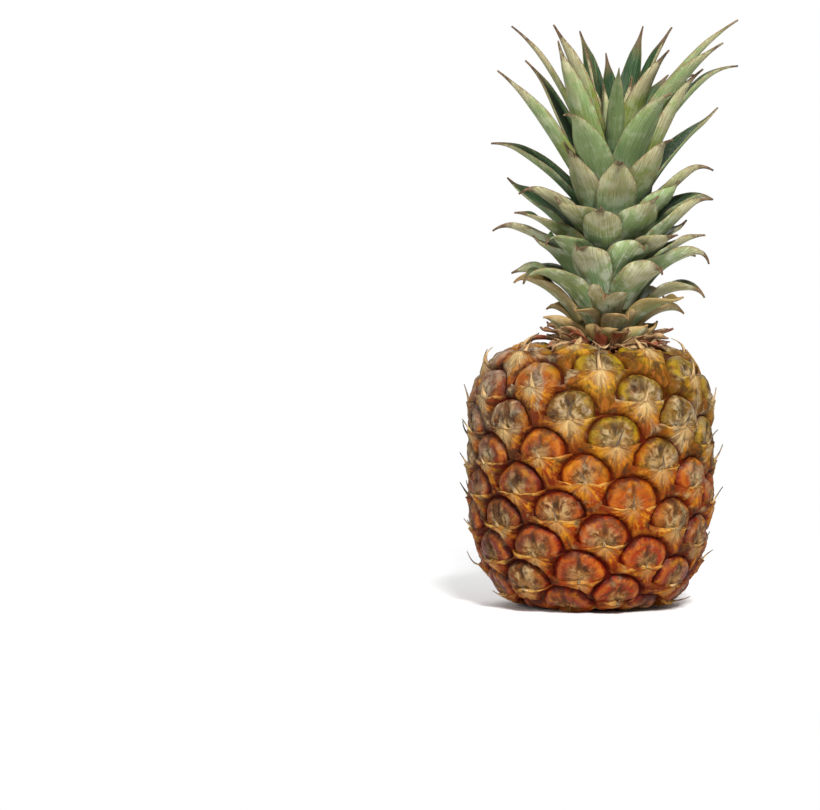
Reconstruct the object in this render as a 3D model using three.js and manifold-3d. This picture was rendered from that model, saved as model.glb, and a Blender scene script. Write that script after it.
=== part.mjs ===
// A whole pineapple standing on its base: a barrel-shaped fruit covered with eyes, a leafy crown,
// a collar of small dry bracts between the two, and the cut stump of the stalk underneath.
// Millimetres, +Z up. The origin is the middle of the stump's cut face, which lies on the table.
import * as THREE from "three";
import { ConvexGeometry } from "three/addons/geometries/ConvexGeometry.js";
import { mergeVertices } from "three/addons/utils/BufferGeometryUtils.js";
import Module from "manifold-3d";

const wasm = await Module();
wasm.setup();

// ---- driving dimensions ----
// The fruit under its eyes: radius and height of its outline, from the middle of the base up to the top.
const OUTLINE = [
  [0, 4], [16, 4.2], [28, 5], [38, 8], [45, 15.5], [50, 27], [53.3, 41], [54.6, 58],
  [54.6, 80], [54, 97], [51.6, 106.5], [48, 112.8], [43, 118], [33.6, 120.7], [20, 121.8], [0, 121.5],
];
const POLE_RINGS = [0.03, 0.07, 0.93, 0.97]; // shares of the outline with a plain ring of vertices
const POLE_RING_SIDES = 10;
const LEAST_SPACING = 0.03; // between the skin's vertices, on a ball of radius 1

// Eyes follow one spiral from the top down, each on an equal share of the skin.
const EYE_AREA = 465.5;
const FIRST_EYE_AREA = 735; // skin above the first eye
const EYE_TURN = THREE.MathUtils.degToRad(137.5226);
const FIRST_EYE_ANGLE = THREE.MathUtils.degToRad(74.04); // 0 is the front, -Y, and 90 is +X
// The spiral drifts a little round the fruit, as it does on one that has grown unevenly.
const DRIFT_TURN = 0.165;
const DRIFT_TURN_ANGLE = 2.584;
const DRIFT_RISE = 7.3;
const DRIFT_RISE_ANGLE = 3.487;
const EYE_WIDTH = 24.6;
const EYE_HEIGHT = 22;
const EYE_SIZE_SPREAD = 0.05;
const DOME_RISE = 5.2;
const DOME_FULLNESS = 2.8; // the higher, the flatter the dome's top and the steeper its edge
const DOME_DROP = 1.5; // the dome's middle lies that much below the eye's own
const MOAT_DEPTH = 2.2;
const MOAT_WIDTH = 0.09; // in shares of the way from the eye's middle to its edge
const MOAT_FADE = 1.5; // millimetres from the lip over which the moat sets in
const LIP_Y = -4.8; // the bract's lip, from the eye's middle
const LIP_POINT = 1.6;
const LIP_POINT_WIDTH = 3;
const LIP_RISE = 5.9;
const BRACT_SIDE_FALL = 0.2; // millimetres down per millimetre away
const BRACT_DOWN_FALL = 0.21;
const SPINE_LENGTH = 6.5;
const TOP_SPINE_LENGTH = 11; // on the eyes round the crown
const SPINE_SPREAD = 0.3; // share of the length
const SPINE_HALF_WIDTH = 1.3;
const SPINE_ROOT_Y = LIP_Y - 0.6;
const SPINE_ROOT_DEPTH = 2; // under the lip
const SPINE_RISE = 0.45; // out from the fruit, for each millimetre of length
const SPINE_CLIMB = 0.9; // up the fruit
const SPINE_SWAY = 2;
const LEAST_SPINE_Z = 9;
const LEAST_EYE_RADIUS_TOP = 21;
const LEAST_EYE_RADIUS_BASE = 17;

const SEAT_Z = 122; // the flat that the crown stands on
const SEAT_RADIUS = 23.5;
const GAP = 0.3;
const STUMP_RADIUS = 12;
const STUMP_HEIGHT = 6.7;
// The bars that cut the fruit level are taller than its spines and wider than its barrel.
const CUT_HEIGHT = 40;
const CUT_RADIUS = 90;

// The crown stands a little off the fruit's axis and leans the same way.
const CROWN_OFFSET = 7;
const CROWN_LEAN = THREE.MathUtils.degToRad(2.4);
const FOOT_GAP = 0.9; // room under the tilted foot
const STEM_RADIUS = 15;
const STEM_TIP_RADIUS = 5;
const STEM_TAPER_START = 30;
const STEM_TAPER_END = 78;
const STEM_HEIGHT = 90;

// Leaves carry on the fruit's spiral, from the lowest up to the heart.
const LEAF_COUNT = 76;
const LEAF_TURN = THREE.MathUtils.degToRad(-137.508);
const FIRST_LEAF_ANGLE = THREE.MathUtils.degToRad(20);
const FIRST_LEAF_Z = 6.5;
const LAST_LEAF_Z = 87;
const LEAF_ROOT_DEPTH = 1.8; // in the stem
const LEAF_THICKNESS = 1.9; // along the middle, thinning to the edges
const LEAF_SEGMENT = 20; // the length of a leaf's straight stretches
const LEAF_LINE_STEPS = 42;
// How leaves change from the lowest to the heart, in equal steps.
const LEAF_LENGTH = [24, 46, 44, 55, 50, 86, 101, 42];
const LEAF_WIDTH = [17, 21, 21, 21, 20, 18, 15.5, 10];
const LEAF_FULLNESS = [5, 2.6]; // how blunt the lowest and the heart leaves are
const LEAF_LEAN = [33, 40, 31, 45, 33, 25, 15, 3]; // degrees from upright at the root
const LEAF_TIP_LEAN = [88, 104, 74, 65, 55, 45, 50, 3]; // and at the tip
const LEAF_CURL = 1.3; // over 1, the leaf bends most near its tip
const LEAF_CHANNEL = 0.41; // how far the edges stand in, for each millimetre of half width
const LEAF_THINNING = 0.4; // share of the thickness lost at the tip
const LEAF_TIP_WIDTH = 1;
// How far the leaves differ: shares of their length and width, degrees of their leans, and the rest
// in the units of what they change.
const LEAF_SPREAD = {
  angle: 0.09, length: 0.14, width: 0.07, lean: 6, tipLean: 18, curl: 0.35, channel: 0.08, sway: 0.1,
};
const LEAF_SEED = 854.7;
// A few leaves stay short and narrow: those whose draw is high.
const STUNT_PROPERTY = 2397;
const STUNTED_FROM = [0.55, 0.9];
const STUNTED_LENGTH = 0.8;
const STUNTED_WIDTH = 0.6;
// Short scales below the lowest leaf, on the same spiral.
const SCALE_COUNT = 9;
const FIRST_SCALE_Z = 1.5;
const SCALE_LENGTH = 21;
const SCALE_LEAN = [58, 45];

// Dry bracts stand out of a ring round the crown's foot, every other one higher and more upright.
const BRACT_COUNT = 28;
const BRACT_THICKNESS = 1.6;
const BRACT_LENGTH = [13, 21];
const BRACT_WIDTH = 8.5;
const BRACT_ROOT_DEPTH = 3;
const LOW_BRACT_LEAN = [68, 104]; // degrees from upright at the root and at the tip
const HIGH_BRACT_LEAN = [40, 92];
const BRACT_FOOT_Z = 1.2;
const BRACT_TIER_RISE = 1.4;
const BRACT_CURL = 1.2;
const BRACT_CHANNEL = 0.3;
const BRACT_SPREAD = { angle: 0.1, z: 0.5, width: 0.15, lean: 8, tipLean: 22, sway: 0.15 };
const COLLAR_INNER = 15.9;
const COLLAR_OUTER = 20.5;
const COLLAR_HEIGHT = 4.5;

// ---- shared helpers ----
const { lerp, degToRad, clamp, smoothstep } = THREE.MathUtils;

// A repeatable draw from -1 to 1 for item number `index` and property number `property`.
function draw(index, property, seed = 4.1) {
  const x = Math.sin(index * 12.9898 + property * 78.233 + seed) * 43758.5453;
  return 2 * (x - Math.floor(x)) - 1;
}

// The value at `share`, 0 to 1, along a list of equally spaced values.
function along(values, share) {
  const x = clamp(share, 0, 1) * (values.length - 1);
  const i = Math.min(Math.floor(x), values.length - 2);
  return lerp(values[i], values[i + 1], x - i);
}

function solidOf(geometry) {
  const bare = geometry.index ? geometry.toNonIndexed() : geometry.clone();
  bare.deleteAttribute("normal");
  bare.deleteAttribute("uv");
  const merged = mergeVertices(bare, 1e-3);
  return new wasm.Manifold(
    new wasm.Mesh({
      numProp: 3,
      vertProperties: new Float32Array(merged.attributes.position.array),
      triVerts: new Uint32Array(merged.index.array),
    }),
  );
}

function geometryOf(solid) {
  const mesh = solid.getMesh();
  const geometry = new THREE.BufferGeometry();
  geometry.setAttribute("position", new THREE.BufferAttribute(mesh.vertProperties, 3));
  geometry.setIndex(new THREE.BufferAttribute(mesh.triVerts, 1));
  geometry.computeVertexNormals();
  return geometry;
}

// The one body that holds together, without loose scraps and with any sealed hollow filled.
function largestBody(solid) {
  return solid.decompose().reduce((a, b) => (b.volume() > a.volume() ? b : a));
}

// A closed solid of revolution about Z from a profile of [radius, z] that runs up the axis.
function turned(profile, sides) {
  const points = profile.map(([radius, z]) => new THREE.Vector2(radius, z));
  return new THREE.LatheGeometry(points, sides).rotateX(Math.PI / 2);
}

// ---- the fruit's outline ----
const outlineCurve = new THREE.SplineCurve(OUTLINE.map(([r, z]) => new THREE.Vector2(r, z)));

// Places spread evenly along the outline, from the base up, each with its radius, height, outward
// normal (out from the axis, and up) and the skin area below it.
function outlineTable(count) {
  const points = outlineCurve.getSpacedPoints(count);
  let area = 0;
  return points.map((point, i) => {
    const before = points[Math.max(i - 1, 0)];
    const after = points[Math.min(i + 1, count)];
    const run = after.clone().sub(before).normalize();
    area += Math.PI * (point.x + before.x) * point.distanceTo(before);
    return { radius: Math.max(point.x, 0), z: point.y, out: run.y, up: -run.x, area };
  });
}

const OUTLINE_LENGTH = outlineCurve.getLength();
const TABLE = outlineTable(800);
const SKIN_AREA = TABLE[TABLE.length - 1].area;

// The place on the outline at a share, 0 to 1, of its length.
function placeAt(share) {
  return TABLE[Math.round(clamp(share, 0, 1) * (TABLE.length - 1))];
}

// Every eye's place on the skin, from the top down, with its own frame: +X across, +Y up the fruit
// and +Z outwards.
function eyePlaces() {
  const places = [];
  const count = Math.floor((SKIN_AREA - FIRST_EYE_AREA) / EYE_AREA);
  for (let k = 0; k < count; k++) {
    const area = SKIN_AREA - FIRST_EYE_AREA - EYE_AREA * k;
    const regular = TABLE.findIndex((row) => row.area >= area) / (TABLE.length - 1);
    const turn = FIRST_EYE_ANGLE + EYE_TURN * k;
    const drift = Math.sin(Math.PI * regular);
    const share = regular + (DRIFT_RISE / OUTLINE_LENGTH) * drift * Math.cos(turn - DRIFT_RISE_ANGLE);
    const angle = turn + DRIFT_TURN * drift * Math.cos(turn - DRIFT_TURN_ANGLE);
    const row = placeAt(share);
    const least = share > 0.5 ? LEAST_EYE_RADIUS_TOP : LEAST_EYE_RADIUS_BASE;
    if (row.radius < least) continue;
    const radial = new THREE.Vector3(Math.sin(angle), -Math.cos(angle), 0);
    const outward = radial.clone().multiplyScalar(row.out).setZ(row.up);
    const across = new THREE.Vector3(Math.cos(angle), Math.sin(angle), 0);
    const origin = radial.clone().multiplyScalar(row.radius).setZ(row.z);
    const matrix = new THREE.Matrix4()
      .makeBasis(across, outward.clone().cross(across), outward)
      .setPosition(origin);
    const size = 1 + EYE_SIZE_SPREAD * draw(k, 1);
    places.push({ index: k, share, angle, size, z: row.z, matrix, inverse: matrix.clone().invert() });
  }
  return places;
}

const EYES = eyePlaces();

// ---- the relief of the eyes ----
// Height over the smooth fruit of one eye's dome, a cushion with an arched top.
function domeHeight(reach) {
  return reach < 1 ? DOME_RISE * Math.sqrt(1 - Math.pow(reach, DOME_FULLNESS)) : 0;
}

// The upper edge of an eye's bract, a lip across the eye that rises to a point in the middle.
function lipLine(u) {
  return LIP_Y + LIP_POINT * Math.exp(-((u / LIP_POINT_WIDTH) ** 2));
}

// Height of one eye's bract, which falls away from the lip to the sides and down the fruit.
function bractHeight(u, v) {
  const below = lipLine(u) - v;
  return below < 0 ? 0 : LIP_RISE - BRACT_SIDE_FALL * Math.abs(u) - BRACT_DOWN_FALL * below;
}

// Height of the whole skin at a point of the smooth fruit: the highest dome or bract there, with a
// narrow moat along the arch of every dome.
function skinHeight(point) {
  let height = 0;
  let moat = 0;
  for (const eye of EYES) {
    const local = point.clone().applyMatrix4(eye.inverse);
    if (local.length() > 2 * EYE_WIDTH || local.z < -EYE_WIDTH) continue;
    const u = local.x / eye.size;
    const v = local.y / eye.size;
    const reach = Math.hypot(u / (EYE_WIDTH / 2), (v + DOME_DROP) / (EYE_HEIGHT / 2));
    const above = clamp((v - lipLine(u)) / MOAT_FADE + 1, 0, 1);
    height = Math.max(height, domeHeight(reach), bractHeight(u, v));
    moat = Math.max(moat, above * Math.exp(-(((reach - 1) / MOAT_WIDTH) ** 2)));
  }
  return height - MOAT_DEPTH * moat;
}

// ---- the fruit ----
// Where an eye needs vertices, in its own frame: along the moat of its arch, inside the arch,
// on top of the dome, along the lip and down the bract.
function eyeOutlinePoints() {
  const points = [];
  const arc = (reach, degrees) => {
    for (const degree of degrees) {
      const angle = degToRad(degree);
      const u = (reach * EYE_WIDTH * Math.cos(angle)) / 2;
      points.push([u, (reach * EYE_HEIGHT * Math.sin(angle)) / 2 - DOME_DROP]);
    }
  };
  arc(1, [-20, 8, 36, 63, 90, 117, 144, 172, 200]);
  arc(0.84, [8, 48, 90, 132, 172]);
  arc(0.45, [40, 140]);
  for (const u of [-12.5, -7, 0, 7, 12.5]) points.push([u, lipLine(u) - 0.2]);
  points.push([-5.5, -10.5], [5.5, -10.5], [0, -15.5]);
  return points;
}

// A triangulated ball whose vertices are spread as the eyes need them. Its latitude is the share of
// the way up the outline, so the ball can be shaped into the fruit vertex by vertex.
function ballGeometry() {
  const kept = [new THREE.Vector3(0, 0, -1), new THREE.Vector3(0, 0, 1)];
  const add = (share, angle) => {
    const tilt = Math.PI * (share - 0.5);
    const point = new THREE.Vector3(
      Math.cos(tilt) * Math.sin(angle), -Math.cos(tilt) * Math.cos(angle), Math.sin(tilt),
    );
    if (kept.every((other) => other.distanceTo(point) > LEAST_SPACING)) kept.push(point);
  };
  for (const share of POLE_RINGS) {
    for (let i = 0; i < POLE_RING_SIDES; i++) add(share, (2 * Math.PI * i) / POLE_RING_SIDES);
  }
  for (const eye of EYES) {
    for (const [u, v] of eyeOutlinePoints()) {
      const share = eye.share + (v * eye.size) / OUTLINE_LENGTH;
      if (share < POLE_RINGS[0] || share > POLE_RINGS[POLE_RINGS.length - 1]) continue;
      add(share, eye.angle + (u * eye.size) / Math.max(placeAt(share).radius, 1));
    }
  }
  return new ConvexGeometry(kept);
}

// Shapes the ball into the fruit's skin, `grow` proud of its true place.
function skinGeometry(grow) {
  const geometry = ballGeometry();
  const position = geometry.attributes.position;
  const point = new THREE.Vector3();
  for (let i = 0; i < position.count; i++) {
    point.fromBufferAttribute(position, i);
    const share = Math.asin(clamp(point.z, -1, 1)) / Math.PI + 0.5;
    const place = placeAt(share);
    const angle = Math.atan2(point.x, -point.y);
    const radial = new THREE.Vector3(Math.sin(angle), -Math.cos(angle), 0);
    const outward = radial.clone().multiplyScalar(place.out).setZ(place.up);
    const smooth = radial.multiplyScalar(place.radius).setZ(place.z);
    smooth.addScaledVector(outward, skinHeight(smooth) + grow);
    position.setXYZ(i, smooth.x, smooth.y, smooth.z);
  }
  return geometry;
}

// The bract's dry point, bent up over the eye.
function spineSolid(eye, grow) {
  const typical = lerp(SPINE_LENGTH, TOP_SPINE_LENGTH, eye.share ** 4);
  const length = typical * (1 + SPINE_SPREAD * draw(eye.index, 3));
  const half = SPINE_HALF_WIDTH + grow;
  const buried = LIP_RISE - SPINE_ROOT_DEPTH;
  const tip = new THREE.Vector3(
    SPINE_SWAY * draw(eye.index, 4),
    LIP_Y + SPINE_CLIMB * length + grow,
    LIP_RISE + SPINE_RISE * length + grow,
  );
  const geometry = new ConvexGeometry([
    new THREE.Vector3(-half, SPINE_ROOT_Y, buried),
    new THREE.Vector3(half, SPINE_ROOT_Y, buried),
    new THREE.Vector3(0, SPINE_ROOT_Y - grow, LIP_RISE + 0.3 + grow),
    new THREE.Vector3(0, LIP_Y + LIP_POINT + grow, buried + 0.4),
    tip,
  ]);
  return solidOf(geometry.applyMatrix4(eye.matrix));
}

// An upright round bar that stands on z.
function upright(radius, height, sides, z) {
  return new THREE.CylinderGeometry(radius, radius, height, sides)
    .rotateX(Math.PI / 2)
    .translate(0, 0, z + height / 2);
}

// The fruit with its seat for the crown, `grow` proud all over.
function seatedFruit(grow = 0) {
  const spines = EYES.filter((eye) => eye.z > LEAST_SPINE_Z).map((eye) => spineSolid(eye, grow));
  const seat = upright(SEAT_RADIUS - grow, CUT_HEIGHT, 32, SEAT_Z + grow).translate(CROWN_OFFSET, 0, 0);
  return wasm.Manifold.union([solidOf(skinGeometry(grow)), ...spines]).subtract(solidOf(seat));
}

// The fruit cut level where it stands, with a hollow for the stalk's stump.
function fruitSolid() {
  const below = solidOf(upright(CUT_RADIUS, CUT_HEIGHT, 8, -CUT_HEIGHT));
  const hollow = solidOf(upright(STUMP_RADIUS + GAP, 2 * (STUMP_HEIGHT + GAP), 24, -STUMP_HEIGHT - GAP));
  return largestBody(seatedFruit().subtract(below.add(hollow)));
}

// ---- leaves ----
const CROWN_PLACE = new THREE.Matrix4()
  .makeRotationY(CROWN_LEAN)
  .setPosition(CROWN_OFFSET, 0, SEAT_Z + FOOT_GAP);

// The line that a leaf follows in its upright plane: distance from the axis, height and lean.
function leafLine(leaf) {
  const line = [{ r: leaf.radius, z: leaf.z, lean: leaf.lean }];
  const step = leaf.length / LEAF_LINE_STEPS;
  for (let i = 1; i <= LEAF_LINE_STEPS; i++) {
    const { r, z } = line[i - 1];
    const lean = lerp(leaf.lean, leaf.tipLean, Math.pow(i / LEAF_LINE_STEPS, leaf.curl));
    line.push({ r: r + Math.sin(lean) * step, z: z + Math.cos(lean) * step, lean });
  }
  return line;
}

// Bends a bar of diamond section, x across, y through and z along, into a channelled leaf.
function bendLeaf(geometry, leaf, grow) {
  const position = geometry.attributes.position;
  const line = leafLine(leaf);
  for (let i = 0; i < position.count; i++) {
    const t = position.getZ(i);
    const across = position.getX(i);
    const { r, z, lean } = line[Math.round(t * LEAF_LINE_STEPS)];
    const half = leafWidth(leaf, t) / 2 + grow;
    const thick = leaf.thickness * (1 - LEAF_THINNING * t) + 2 * grow;
    const lift = 0.5 * position.getY(i) * thick + leaf.channel * half * across * across;
    const side = across * half + leaf.sway * leaf.length * t * t;
    const out = r - Math.cos(lean) * lift;
    position.setXYZ(
      i,
      out * Math.sin(leaf.angle) + side * Math.cos(leaf.angle),
      -out * Math.cos(leaf.angle) + side * Math.sin(leaf.angle),
      z + Math.sin(lean) * lift,
    );
  }
  return geometry;
}

// Broad at the root, fullest half way along, then tapering to a point.
function leafWidth(leaf, t) {
  return leaf.width * (0.5 + 1.6 * t - 1.3 * t * t) * (1 - t ** leaf.fullness) + LEAF_TIP_WIDTH;
}

function leafSolid(leaf, grow = 0) {
  const bar = new THREE.CylinderGeometry(1, 1, 1, 4, leaf.segments).rotateX(Math.PI / 2).translate(0, 0, 0.5);
  return solidOf(bendLeaf(bar, leaf, grow));
}

function stemRadius(z) {
  const taper = clamp((z - STEM_TAPER_START) / (STEM_TAPER_END - STEM_TAPER_START), 0, 1);
  return lerp(STEM_RADIUS, STEM_TIP_RADIUS, taper);
}

// The rule for leaf number j of the crown; the short scales under it have numbers below 0.
function crownLeaf(j) {
  const scale = j < 0;
  const share = Math.max(j, 0) / (LEAF_COUNT - 1);
  const z = scale
    ? lerp(FIRST_LEAF_Z, FIRST_SCALE_Z, -j / SCALE_COUNT)
    : lerp(FIRST_LEAF_Z, LAST_LEAF_Z, share);
  const [lean, tipLean] = scale ? SCALE_LEAN : [along(LEAF_LEAN, share), along(LEAF_TIP_LEAN, share)];
  const spread = (name, property) => LEAF_SPREAD[name] * draw(j, property, LEAF_SEED);
  const stunt = smoothstep(draw(j, STUNT_PROPERTY, LEAF_SEED), ...STUNTED_FROM);
  const typical = scale ? SCALE_LENGTH : along(LEAF_LENGTH, share);
  const length = typical * (1 + spread("length", 12)) * lerp(1, STUNTED_LENGTH, stunt);
  return {
    angle: FIRST_LEAF_ANGLE + LEAF_TURN * j + spread("angle", 11),
    z,
    radius: stemRadius(z) - LEAF_ROOT_DEPTH,
    length,
    width: along(LEAF_WIDTH, share) * (1 + spread("width", 13)) * lerp(1, STUNTED_WIDTH, stunt),
    fullness: lerp(...LEAF_FULLNESS, share),
    lean: degToRad(lean + spread("lean", 14)),
    tipLean: degToRad(tipLean + spread("tipLean", 15)),
    curl: LEAF_CURL + spread("curl", 16),
    channel: LEAF_CHANNEL + spread("channel", 17),
    sway: spread("sway", 18),
    thickness: LEAF_THICKNESS,
    segments: Math.max(3, Math.round(length / LEAF_SEGMENT)),
  };
}

function crownSolid(grow = 0) {
  const profile = [
    [0, 0], [STEM_RADIUS, 0], [STEM_RADIUS, STEM_TAPER_START], [STEM_TIP_RADIUS, STEM_TAPER_END],
    [STEM_TIP_RADIUS, STEM_HEIGHT], [0, STEM_HEIGHT + 2],
  ];
  const stem = solidOf(turned(profile.map(([r, z]) => [r > 0 ? r + grow : 0, z]), 16));
  const leaves = [];
  for (let j = -SCALE_COUNT; j < LEAF_COUNT; j++) leaves.push(leafSolid(crownLeaf(j), grow));
  return largestBody(wasm.Manifold.union([stem, ...leaves]));
}

// The rule for dry bract number j of the collar.
function collarBract(j) {
  const high = j % 2;
  const [lean, tipLean] = high ? HIGH_BRACT_LEAN : LOW_BRACT_LEAN;
  const spread = (name, property) => BRACT_SPREAD[name] * draw(j, property);
  return {
    angle: (2 * Math.PI * j) / BRACT_COUNT + spread("angle", 21),
    z: BRACT_FOOT_Z + BRACT_TIER_RISE * high + spread("z", 22),
    radius: COLLAR_OUTER - BRACT_ROOT_DEPTH,
    length: lerp(...BRACT_LENGTH, 0.5 + 0.5 * draw(j, 23)),
    width: BRACT_WIDTH * (1 + spread("width", 24)),
    fullness: 2,
    lean: degToRad(lean + spread("lean", 25)),
    tipLean: degToRad(tipLean + spread("tipLean", 26)),
    curl: BRACT_CURL,
    channel: BRACT_CHANNEL,
    sway: spread("sway", 27),
    thickness: BRACT_THICKNESS,
    segments: 2,
  };
}

function collarSolid() {
  const ring = [
    [COLLAR_INNER, 0], [COLLAR_OUTER - 2, 0], [COLLAR_OUTER, 1.5], [COLLAR_OUTER - 2, COLLAR_HEIGHT],
    [COLLAR_INNER, COLLAR_HEIGHT], [COLLAR_INNER, 0],
  ];
  const bracts = Array.from({ length: BRACT_COUNT }, (_, j) => leafSolid(collarBract(j)));
  const whole = wasm.Manifold.union([solidOf(turned(ring, 24)), ...bracts]);
  const fruit = geometryOf(seatedFruit(GAP)).applyMatrix4(CROWN_PLACE.clone().invert());
  return largestBody(whole.subtract(crownSolid(GAP).add(solidOf(fruit))));
}

// ---- the part ----
function finish(color, roughness) {
  return new THREE.MeshStandardMaterial({ color, roughness, metalness: 0, flatShading: true });
}

function piece(name, geometry, material) {
  const mesh = new THREE.Mesh(geometry, material);
  mesh.name = name;
  return mesh;
}

const shoot = new THREE.Group();
shoot.applyMatrix4(CROWN_PLACE);
shoot.add(
  piece("crown", geometryOf(crownSolid()), finish(0x8a9b72, 0.6)),
  piece("collar_bracts", geometryOf(collarSolid()), finish(0xa8794f, 0.85)),
);

const pineapple = new THREE.Group();
pineapple.add(
  piece("fruit", geometryOf(fruitSolid()), finish(0xb8742c, 0.6)),
  piece("cut_stalk", upright(STUMP_RADIUS, STUMP_HEIGHT, 24, 0), finish(0xb99b6b, 0.85)),
  shoot,
);

export default pineapple;
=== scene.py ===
"""A whole pineapple: a barrel of eyes, a leafy crown, a collar of dry bracts and a cut stalk.

The object's sizes are in millimetres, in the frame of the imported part: Z up, the front towards -Y.
Each mesh is turned into metres when it is finished."""
import math

import bmesh
import bpy
import numpy as np
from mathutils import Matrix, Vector


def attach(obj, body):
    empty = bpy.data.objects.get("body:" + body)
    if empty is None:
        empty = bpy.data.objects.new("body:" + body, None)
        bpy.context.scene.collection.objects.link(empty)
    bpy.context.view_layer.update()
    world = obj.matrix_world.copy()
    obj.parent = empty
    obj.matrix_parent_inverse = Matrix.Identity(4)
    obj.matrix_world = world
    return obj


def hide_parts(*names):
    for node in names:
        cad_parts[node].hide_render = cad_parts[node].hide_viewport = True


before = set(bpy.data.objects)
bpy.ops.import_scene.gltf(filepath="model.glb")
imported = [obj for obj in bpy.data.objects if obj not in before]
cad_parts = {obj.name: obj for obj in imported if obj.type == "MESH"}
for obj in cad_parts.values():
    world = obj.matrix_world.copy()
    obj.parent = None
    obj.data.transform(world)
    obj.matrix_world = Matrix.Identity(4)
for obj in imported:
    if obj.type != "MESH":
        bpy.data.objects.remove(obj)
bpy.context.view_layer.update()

MM = 0.001

# ---- the camera's frame ----
FRAME_WIDTH_PX = 820
FRAME_HEIGHT_PX = 810
STALK_X_PX = 591  # where the middle of the stalk's foot stands in the frame
STALK_Y_PX = 605
SCALE = 0.484  # millimetres in a pixel, at the fruit's axis
CAMERA_LENS = 180
SENSOR_WIDTH = 36
CAMERA_RISE = math.radians(6)
CAMERA_SIGHT = 50  # metres, to beyond the floor's edge
ROOM_LIGHT = 0.37
LIGHT_AIM = (0, 0, 0.14)  # metres, the middle of the whole object
FLOOR_RADIUS = 6  # metres
FLOOR_FADE = (110, 420)  # how far out the floor begins to fade, and is gone

# ---- the fruit, as in the part's source ----
# the fruit under its eyes: radius and height, from the middle of the base up
OUTLINE = [
    (0, 4), (16, 4.2), (28, 5), (38, 8), (45, 15.5), (50, 27), (53.3, 41), (54.6, 58),
    (54.6, 80), (54, 97), (51.6, 106.5), (48, 112.8), (43, 118), (33.6, 120.7),
    (20, 121.8), (0, 121.5),
]
EYE_AREA = 465.5
FIRST_EYE_AREA = 735  # skin above the first eye
EYE_TURN = math.radians(137.5226)
FIRST_EYE_ANGLE = math.radians(74.04)  # 0 is the front, -Y, and 90 is +X
# the spiral drifts a little round the fruit, as on one that has grown unevenly
DRIFT_TURN = 0.165
DRIFT_TURN_ANGLE = 2.584
DRIFT_RISE = 7.3
DRIFT_RISE_ANGLE = 3.487
LEAST_EYE_RADIUS_TOP = 21
LEAST_EYE_RADIUS_BASE = 17
EYE_WIDTH = 24.6
EYE_HEIGHT = 22
EYE_SIZE_SPREAD = 0.05
DOME_RISE = 5.2
DOME_FULLNESS = 2.8  # the higher, the flatter its top and the steeper its edge
DOME_DROP = 1.5  # its middle lies that much below the eye's own
MOAT_DEPTH = 2.2
MOAT_WIDTH = 0.09  # share of the way from the eye's middle to its edge
MOAT_FADE = 1.5  # millimetres from the lip over which the moat sets in
LIP_Y = -4.8  # the bract's lip, from the eye's middle
LIP_POINT = 1.6
LIP_POINT_WIDTH = 3
LIP_RISE = 5.9
SPINE_LENGTH = 6.5
TOP_SPINE_LENGTH = 11  # on the eyes round the crown
SPINE_SPREAD = 0.3  # share of the length
SPINE_RISE = 0.45  # out from the fruit, per millimetre of length
SPINE_CLIMB = 0.9  # up the fruit
SPINE_SWAY = 2
LEAST_SPINE_Z = 9
SEAT_RADIUS = 23.5
STUMP_RADIUS = 12
STUMP_HEIGHT = 6.7

# ---- the fruit's finer forms ----
OUTLINE_STEPS = 800
LEAST_WRAP_RADIUS = 6  # no eye wraps tighter round the fruit
SEAT_FADE = 5
SEAT_FROM_Z = (100, 110)
BASE_PRESS = 0.35  # how softly the fruit's underside is pressed level
HEART_V = LIP_Y + 0.9  # where the bract's point and the dome's creases meet
SKIN_HEIGHTS = (0.35, 1.5)  # near the poles and over the body
DOME_RISE_SPREAD = 0.1  # share of the rise
CREST_RISE = 0.4  # a dome's rounded rim
CREST_REACH = 0.76
CREST_WIDTH = 0.15
HOLLOW_DEPTH = 0.6  # its middle, inside the rim
CREASE_DEPTH = 1.0  # where its sepals meet
CREASE_WIDTH = 1.1
HEART_DEPTH = 1.2
HEART_WIDTH = 3.2
RIB_COUNT = 15
RIB_RISE = 0.12
LUMP_RISE = 0.5
TUCK_DEPTH = 1.6  # of a dome, under its bract
DOME_SKIRT = 12  # stretches its closed underside downwards
FAN_REACHES = (20.5, 18.5)  # from point to outer edge, down the middle and at the wings
FAN_HALF_ANGLE = math.radians(87)
FAN_FOOT = -2.5
WING_SPAN = 15
WING_CLIMB = 3.2
FAN_SIDE_FALL = 0.13  # millimetres down per millimetre away
FAN_DOWN_FALL = 0.15
FAN_TUCK_DEPTH = 4.5  # of the outer edge, under the neighbours
FAN_SINK = 5  # of any part of it, under another eye's dome
FRAY_RISE = 0.28
TOP_FRAY_RISE = 0.5  # added on the eyes round the crown
WING_DROOP = 1.6
FAN_POINT_RISE = 0.7
PLEAT_COUNT = 11
PLEAT_RISE = 0.2
FOLD_DEPTH = 0.5  # down the fan's middle
FAN_LUMP_RISE = 0.45
SPINE_WIDTHS = (1.5, 6.5)  # at the root, low on the fruit and round the crown
SPINE_TIP_WIDTH = 0.17
SPINE_THICKNESS = (0.45, 0.16)  # at the root and the tip

# ---- the crown and the collar, as in the part's source ----
CROWN_FOOT = np.array([7, 0, 122.9])
CROWN_LEAN = math.radians(2.4)
STEM_RADIUS = 15
STEM_TIP_RADIUS = 5
STEM_TAPER_START = 30
STEM_TAPER_END = 78
LEAF_COUNT = 76
LEAF_TURN = math.radians(-137.508)
FIRST_LEAF_ANGLE = math.radians(20)
FIRST_LEAF_Z = 6.5
LAST_LEAF_Z = 87
LEAF_ROOT_DEPTH = 1.8  # in the stem
LEAF_THICKNESS = 1.9  # along the middle, thinning to the edges
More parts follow.
